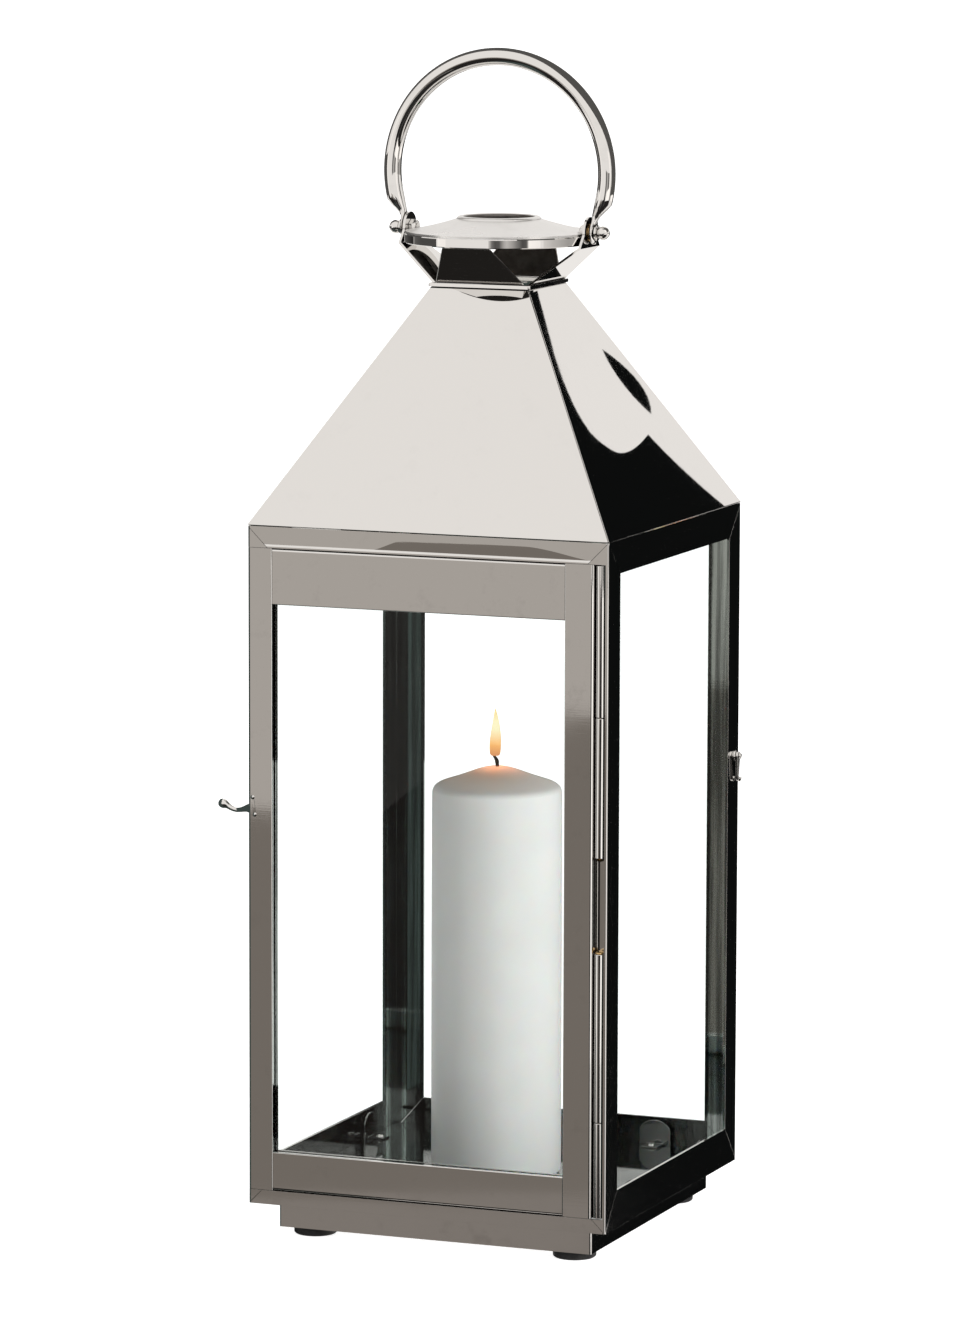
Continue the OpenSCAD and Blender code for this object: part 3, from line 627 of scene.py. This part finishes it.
def make_candle():
    r, side = CANDLE_R, CANDLE_H - 11.4
    profile = [(0, 0), (r - 8, 0), (r - 3.2, 0.1), (r - 1.2, 0.8), (r - 0.3, 2.2), (r, 4.4)]
    profile += [(r, 4.4 + (side - 9.4) * i / 14) for i in range(1, 14)]
    profile += [(r, side - 5), (r - 0.35, side - 3), (r - 1.2, side - 1.3), (r - 2.6, side - 0.1),
                (r - 4.6, side + 1.0), (r * 0.74, side + 2.7), (r * 0.6, side + 4.5),
                (r * 0.45, side + 6.7), (r * 0.3, side + 8.9), (6.5, side + 10.2), (3.6, side + 10.7),
                (1.6, side + 10.6), (0, side + 10.5)]

    def wobble(a, z):
        return 0.0016 * math.sin(2 * a + z / 70) + 0.0009 * math.sin(5 * a - z / 40)

    made = lathe("candle_body", profile, 96, CANDLE_FOOT, wobble)
    finish_mesh(made, wax("wax", CANDLE_H * MM), "candle", 1, 80)
    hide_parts("candle")


def make_wick():
    foot = Vector((0, 0, CANDLE_H - 1.6))
    bend = [(0, 0, 0), (0, 0, 1.6), (-0.05, 0, 3.0), (-0.3, 0, 4.2), (-0.85, 0, 5.3), (-1.55, 0, 6.1),
            (-2.2, 0, 6.6), (-2.55, 0, 6.85)]
    stations = []
    for j, point in enumerate(bend):
        after = Vector(bend[min(j + 1, len(bend) - 1)])
        before = Vector(bend[max(j - 1, 0)])
        along = (after - before).normalized()
        one = Vector((0, 1, 0))
        two = along.cross(one)
        size = between([(0, 1.45), (5, 1.25), (6, 1.0), (7, 0.5)], j)
        turn = 0.7 * j
        flat = 0.78
        stations.append((foot + Vector(point), (one * math.cos(turn) + two * math.sin(turn)) * size,
                         (two * math.cos(turn) - one * math.sin(turn)) * size * flat))
    made = tube("wick_charred", stations, 12, CANDLE_FOOT)
    finish_mesh(made, char("charred_wick"), "candle", 2, 80)
    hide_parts("wick")


def make_flame():
    height = 28.5
    profile = [(0, 0.4), (1.2, 0.1), (2.4, 0.1), (3.0, 0.8), (3.3, 3.0), (3.4, 6.4), (3.25, 10.2),
               (2.8, 14.4), (2.15, 18.6), (1.35, 22.6), (0.6, 26.2), (0, height)]
    place = CANDLE_FOOT + Vector((-1.4, 0, CANDLE_H + 5.2)) * MM
    made = lathe("flame", profile, 32, place)
    for v in made.data.vertices:
        v.co.x += 0.9 * MM * math.sin(v.co.z / MM / height * 3.1) * (v.co.z / MM / height)
    finish_mesh(made, flame_light("flame", height * MM), "candle", 1, 80)
    made.visible_shadow = False
    data = bpy.data.lights.new("flame_lamp", "POINT")
    data.energy = 0.02
    data.color = (1.0, 0.55, 0.26)
    data.shadow_soft_size = 0.004
    lamp = bpy.data.objects.new("flame_lamp", data)
    scene.collection.objects.link(lamp)
    lamp.parent = made
    lamp.location = (0, 0, 9 * MM)
    lamp.visible_glossy = False


make_candle()
make_wick()
make_flame()


# ---------- finishes of the CAD nodes ----------

# darker greenish grey tint, with streaks, for faces that look inwards
INWARD_TINT = (0.3, 0.325, 0.315)
sheet_upright = steel("steel_upright", rough=0.02, wave=0.1, grit=0.5, marks=0.35, inside=INWARD_TINT)
sheet_across = steel("steel_across", rough=0.025, wave=0.12, lines=(40, 40, 1), marks=0.4, inside=INWARD_TINT)
sheet_eave = steel("steel_eave", rough=0.02, wave=0.05, lines=(1, 40, 40), marks=0.2, pressed=eave_press)
sheet_roof = steel("steel_roof", rough=0.012, wave=0.07, lines=(6, 6, 6), marks=0.12, grit=0.3)
sheet_floor = steel("steel_floor", (0.2, 0.21, 0.205), rough=0.04, wave=0.12, lines=(1, 40, 40))
tab_steel = steel("steel_tab", (0.3, 0.31, 0.3), rough=0.04, wave=0.02, marks=0.4)
dome_steel = cap_steel("steel_cap")
turned = steel("steel_turned", rough=0.03, wave=0.02, lines=(1, 1, 1), marks=0.3)
clear_glass = glass("window_glass")
black_rubber = rubber("black_rubber")
soft_brass = brass("soft_brass")


# ---------- handle ----------

RING_MIDDLE = 612.7
RING_R = 66.2
ROD_R = 5.1
PIVOT_Z = 579.5
BORE_R = 2.56


def bored(made, cutters):
    """Cuts holes in a piece with closed meshes, which are then deleted."""
    for cutter in cutters:
        cut = made.modifiers.new("bore", "BOOLEAN")
        cut.operation, cut.object, cut.solver = "DIFFERENCE", cutter, "EXACT"
    bpy.context.view_layer.update()
    result = bpy.data.meshes.new_from_object(made.evaluated_get(bpy.context.evaluated_depsgraph_get()))
    made.modifiers.clear()
    made.data = result
    for cutter in cutters:
        bpy.data.objects.remove(cutter)


def make_handle():
    """Round rod bent to a ring; each end narrows, then is pressed flat to an eye on the pivot bolt."""
    end = math.radians(-14)
    stations = []
    # one eye, from its lowest point up to where the rod is round:
    # height, middle x, half thickness, half width
    eye = [(-6.65, 58.5, 0.5, 0.9), (-6.3, 58.5, 0.9, 2.6), (-5.0, 58.5, 1.1, 4.6), (-2.8, 58.5, 1.1, 6.1),
           (0, 58.5, 1.1, 6.6), (2.6, 58.52, 1.12, 6.2), (4.8, 58.65, 1.25, 5.0), (6.8, 59.0, 1.65, 3.7),
           (8.8, 59.7, 2.35, 3.0), (10.8, 60.9, 3.2, 3.4), (13.0, 62.4, 4.2, 4.3)]
    for up, x, thick, wide in eye:
        stations.append((Vector((x, 0, PIVOT_Z + up)), Vector((thick, 0, 0)), Vector((0, wide, 0))))
    steps = 88
    for i in range(steps + 1):
        a = end + (math.pi - 2 * end) * i / steps
        out = Vector((math.cos(a), 0, math.sin(a)))
        stations.append((Vector((0, 0, RING_MIDDLE)) + out * RING_R, out * ROD_R, Vector((0, ROD_R, 0))))
    for up, x, thick, wide in reversed(eye):
        stations.append((Vector((-x, 0, PIVOT_Z + up)), Vector((-thick, 0, 0)), Vector((0, wide, 0))))
    made = tube("ring_handle", stations, 28, MIDDLE)
    cutters = []
    for side in (-1, 1):
        pin = [(Vector((side * x, 0, PIVOT_Z)), Vector((0, BORE_R, 0)), Vector((0, 0, BORE_R)))
               for x in (50, 66)]
        cutters.append(tube("cutter", pin, 32, MIDDLE))
    bored(made, cutters)
    finish_mesh(made, turned, "handle", 0, 50)
    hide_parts("handle_ring")


make_handle()


# ---------- catch lever ----------

def make_lever():
    """Turned boss on the left side with an S-curved stem and a ball at its end."""
    lo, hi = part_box("latch_lever")
    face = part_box("post_front_left")[0].x
    place = Vector((face, (lo.y + hi.y) / 2, 0))
    # out from the post, drop, half size
    stem = [(-5, 0, 2.0), (0.34, 0, 2.0), (0.36, 0, 4.6), (0.6, 0, 4.95), (1.2, 0, 4.95), (1.5, 0, 4.6),
            (2.2, 0, 3.9), (3.2, 0, 3.1), (4.4, -0.05, 2.55), (5.8, -0.3, 2.05), (7.6, -0.8, 1.65),
            (9.6, -1.3, 1.4), (11.6, -1.5, 1.35), (13.6, -1.2, 1.4), (15.4, -0.5, 1.55), (16.9, 0.3, 1.65),
            (18.0, 0.95, 2.0), (19.0, 1.35, 2.5), (20.2, 1.75, 2.72), (21.6, 2.1, 2.55), (22.6, 2.3, 1.9),
            (23.1, 2.4, 0.9)]
    height = (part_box("latch_tongue")[0].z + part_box("latch_tongue")[1].z) / 2 / MM
    stations = []
    for j, (out, rise, size) in enumerate(stem):
        a, b = stem[max(j - 1, 0)], stem[min(j + 1, len(stem) - 1)]
        along = Vector((a[0] - b[0], 0, b[1] - a[1])).normalized()
        one = Vector((0, 1, 0))
        stations.append((Vector((-out, 0, height + rise)), one * size, along.cross(one) * size))
    made = tube("catch_lever", stations, 24, place)
    finish_mesh(made, turned, "catch", 0, 50)
    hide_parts("latch_lever")


make_lever()


FINISH = {
    sheet_upright: ["post_front_left", "post_front_right", "post_rear_left", "post_rear_right",
                    "door_stile_left", "door_stile_right"],
    sheet_across: ["plinth", "sill_front", "bottom_left", "bottom_right", "bottom_rear",
                   "inner_frame_top", "inner_frame_bottom", "top_left", "top_right", "top_rear",
                   "door_rail_top", "door_rail_bottom"],
    sheet_roof: ["roof_front", "roof_rear", "roof_left", "roof_right", "roof_collar", "neck_front",
                 "neck_rear", "neck_left", "neck_right", "cap_rim"],
    sheet_eave: ["eave_front"],
    tab_steel: ["glass_tabs"],
    dome_steel: ["cap_dome"],
    sheet_floor: ["floor_plate"],
    turned: ["foot_screws", "tab_rivets", "pivot_bolts", "pivot_inner_nuts",
             "pivot_ball_nuts", "hinge_door_knuckles", "hinge_body_knuckles", "keeper",
             "keeper_rivets", "latch_tongue", "rear_eye", "rear_hook"],
    clear_glass: ["pane_left", "pane_right", "pane_rear", "door_glass"],
    black_rubber: ["rubber_feet"],
    soft_brass: ["pivot_washers", "hinge_pins"],
}
# width of the rounded edges, in millimetres
EDGES = {1.2: ["sill_front", "eave_front", "post_front_right"],
         0.9: ["post_front_left", "post_rear_left", "post_rear_right", "bottom_left",
               "bottom_right", "bottom_rear", "plinth"],
         0.7: ["roof_front", "roof_rear", "roof_left", "roof_right", "inner_frame_top",
               "inner_frame_bottom", "roof_collar", "neck_front", "neck_rear", "neck_left",
               "neck_right"],
         0.3: ["door_stile_left", "door_stile_right", "door_rail_top", "door_rail_bottom",
               "top_left", "top_right", "top_rear", "glass_tabs", "pivot_inner_nuts",
               "hinge_door_knuckles", "hinge_body_knuckles", "rear_hook", "pivot_washers",
               "rubber_feet"]}


def shade_smooth_group():
    group = bpy.data.node_groups.new("shade_smooth", "GeometryNodeTree")
    group.interface.new_socket("Geometry", in_out="INPUT", socket_type="NodeSocketGeometry")
    group.interface.new_socket("Geometry", in_out="OUTPUT", socket_type="NodeSocketGeometry")
    start = group.nodes.new("NodeGroupInput")
    end = group.nodes.new("NodeGroupOutput")
    smooth = group.nodes.new("GeometryNodeSetShadeSmooth")
    group.links.new(start.outputs[0], smooth.inputs[0])
    group.links.new(smooth.outputs[0], end.inputs[0])
    return group


def round_edges(node, width, group):
    """Rounded edges as modifiers; the CAD node's own mesh stays as it is."""
    o = NODES[node]
    weld = o.modifiers.new("weld", "WELD")
    weld.merge_threshold = 0.00001
    bevel = o.modifiers.new("bevel", "BEVEL")
    bevel.width = width * MM
    bevel.segments = 2
    bevel.limit_method = "ANGLE"
    bevel.angle_limit = math.radians(35)
    o.modifiers.new("smooth", "NODES").node_group = group
    o.modifiers.new("normals", "WEIGHTED_NORMAL").keep_sharp = False


smooth_group = shade_smooth_group()
for material, names in FINISH.items():
    for name in names:
        for slot in NODES[name].material_slots:
            slot.material = material
for width, names in EDGES.items():
    for name in names:
        round_edges(name, width, smooth_group)
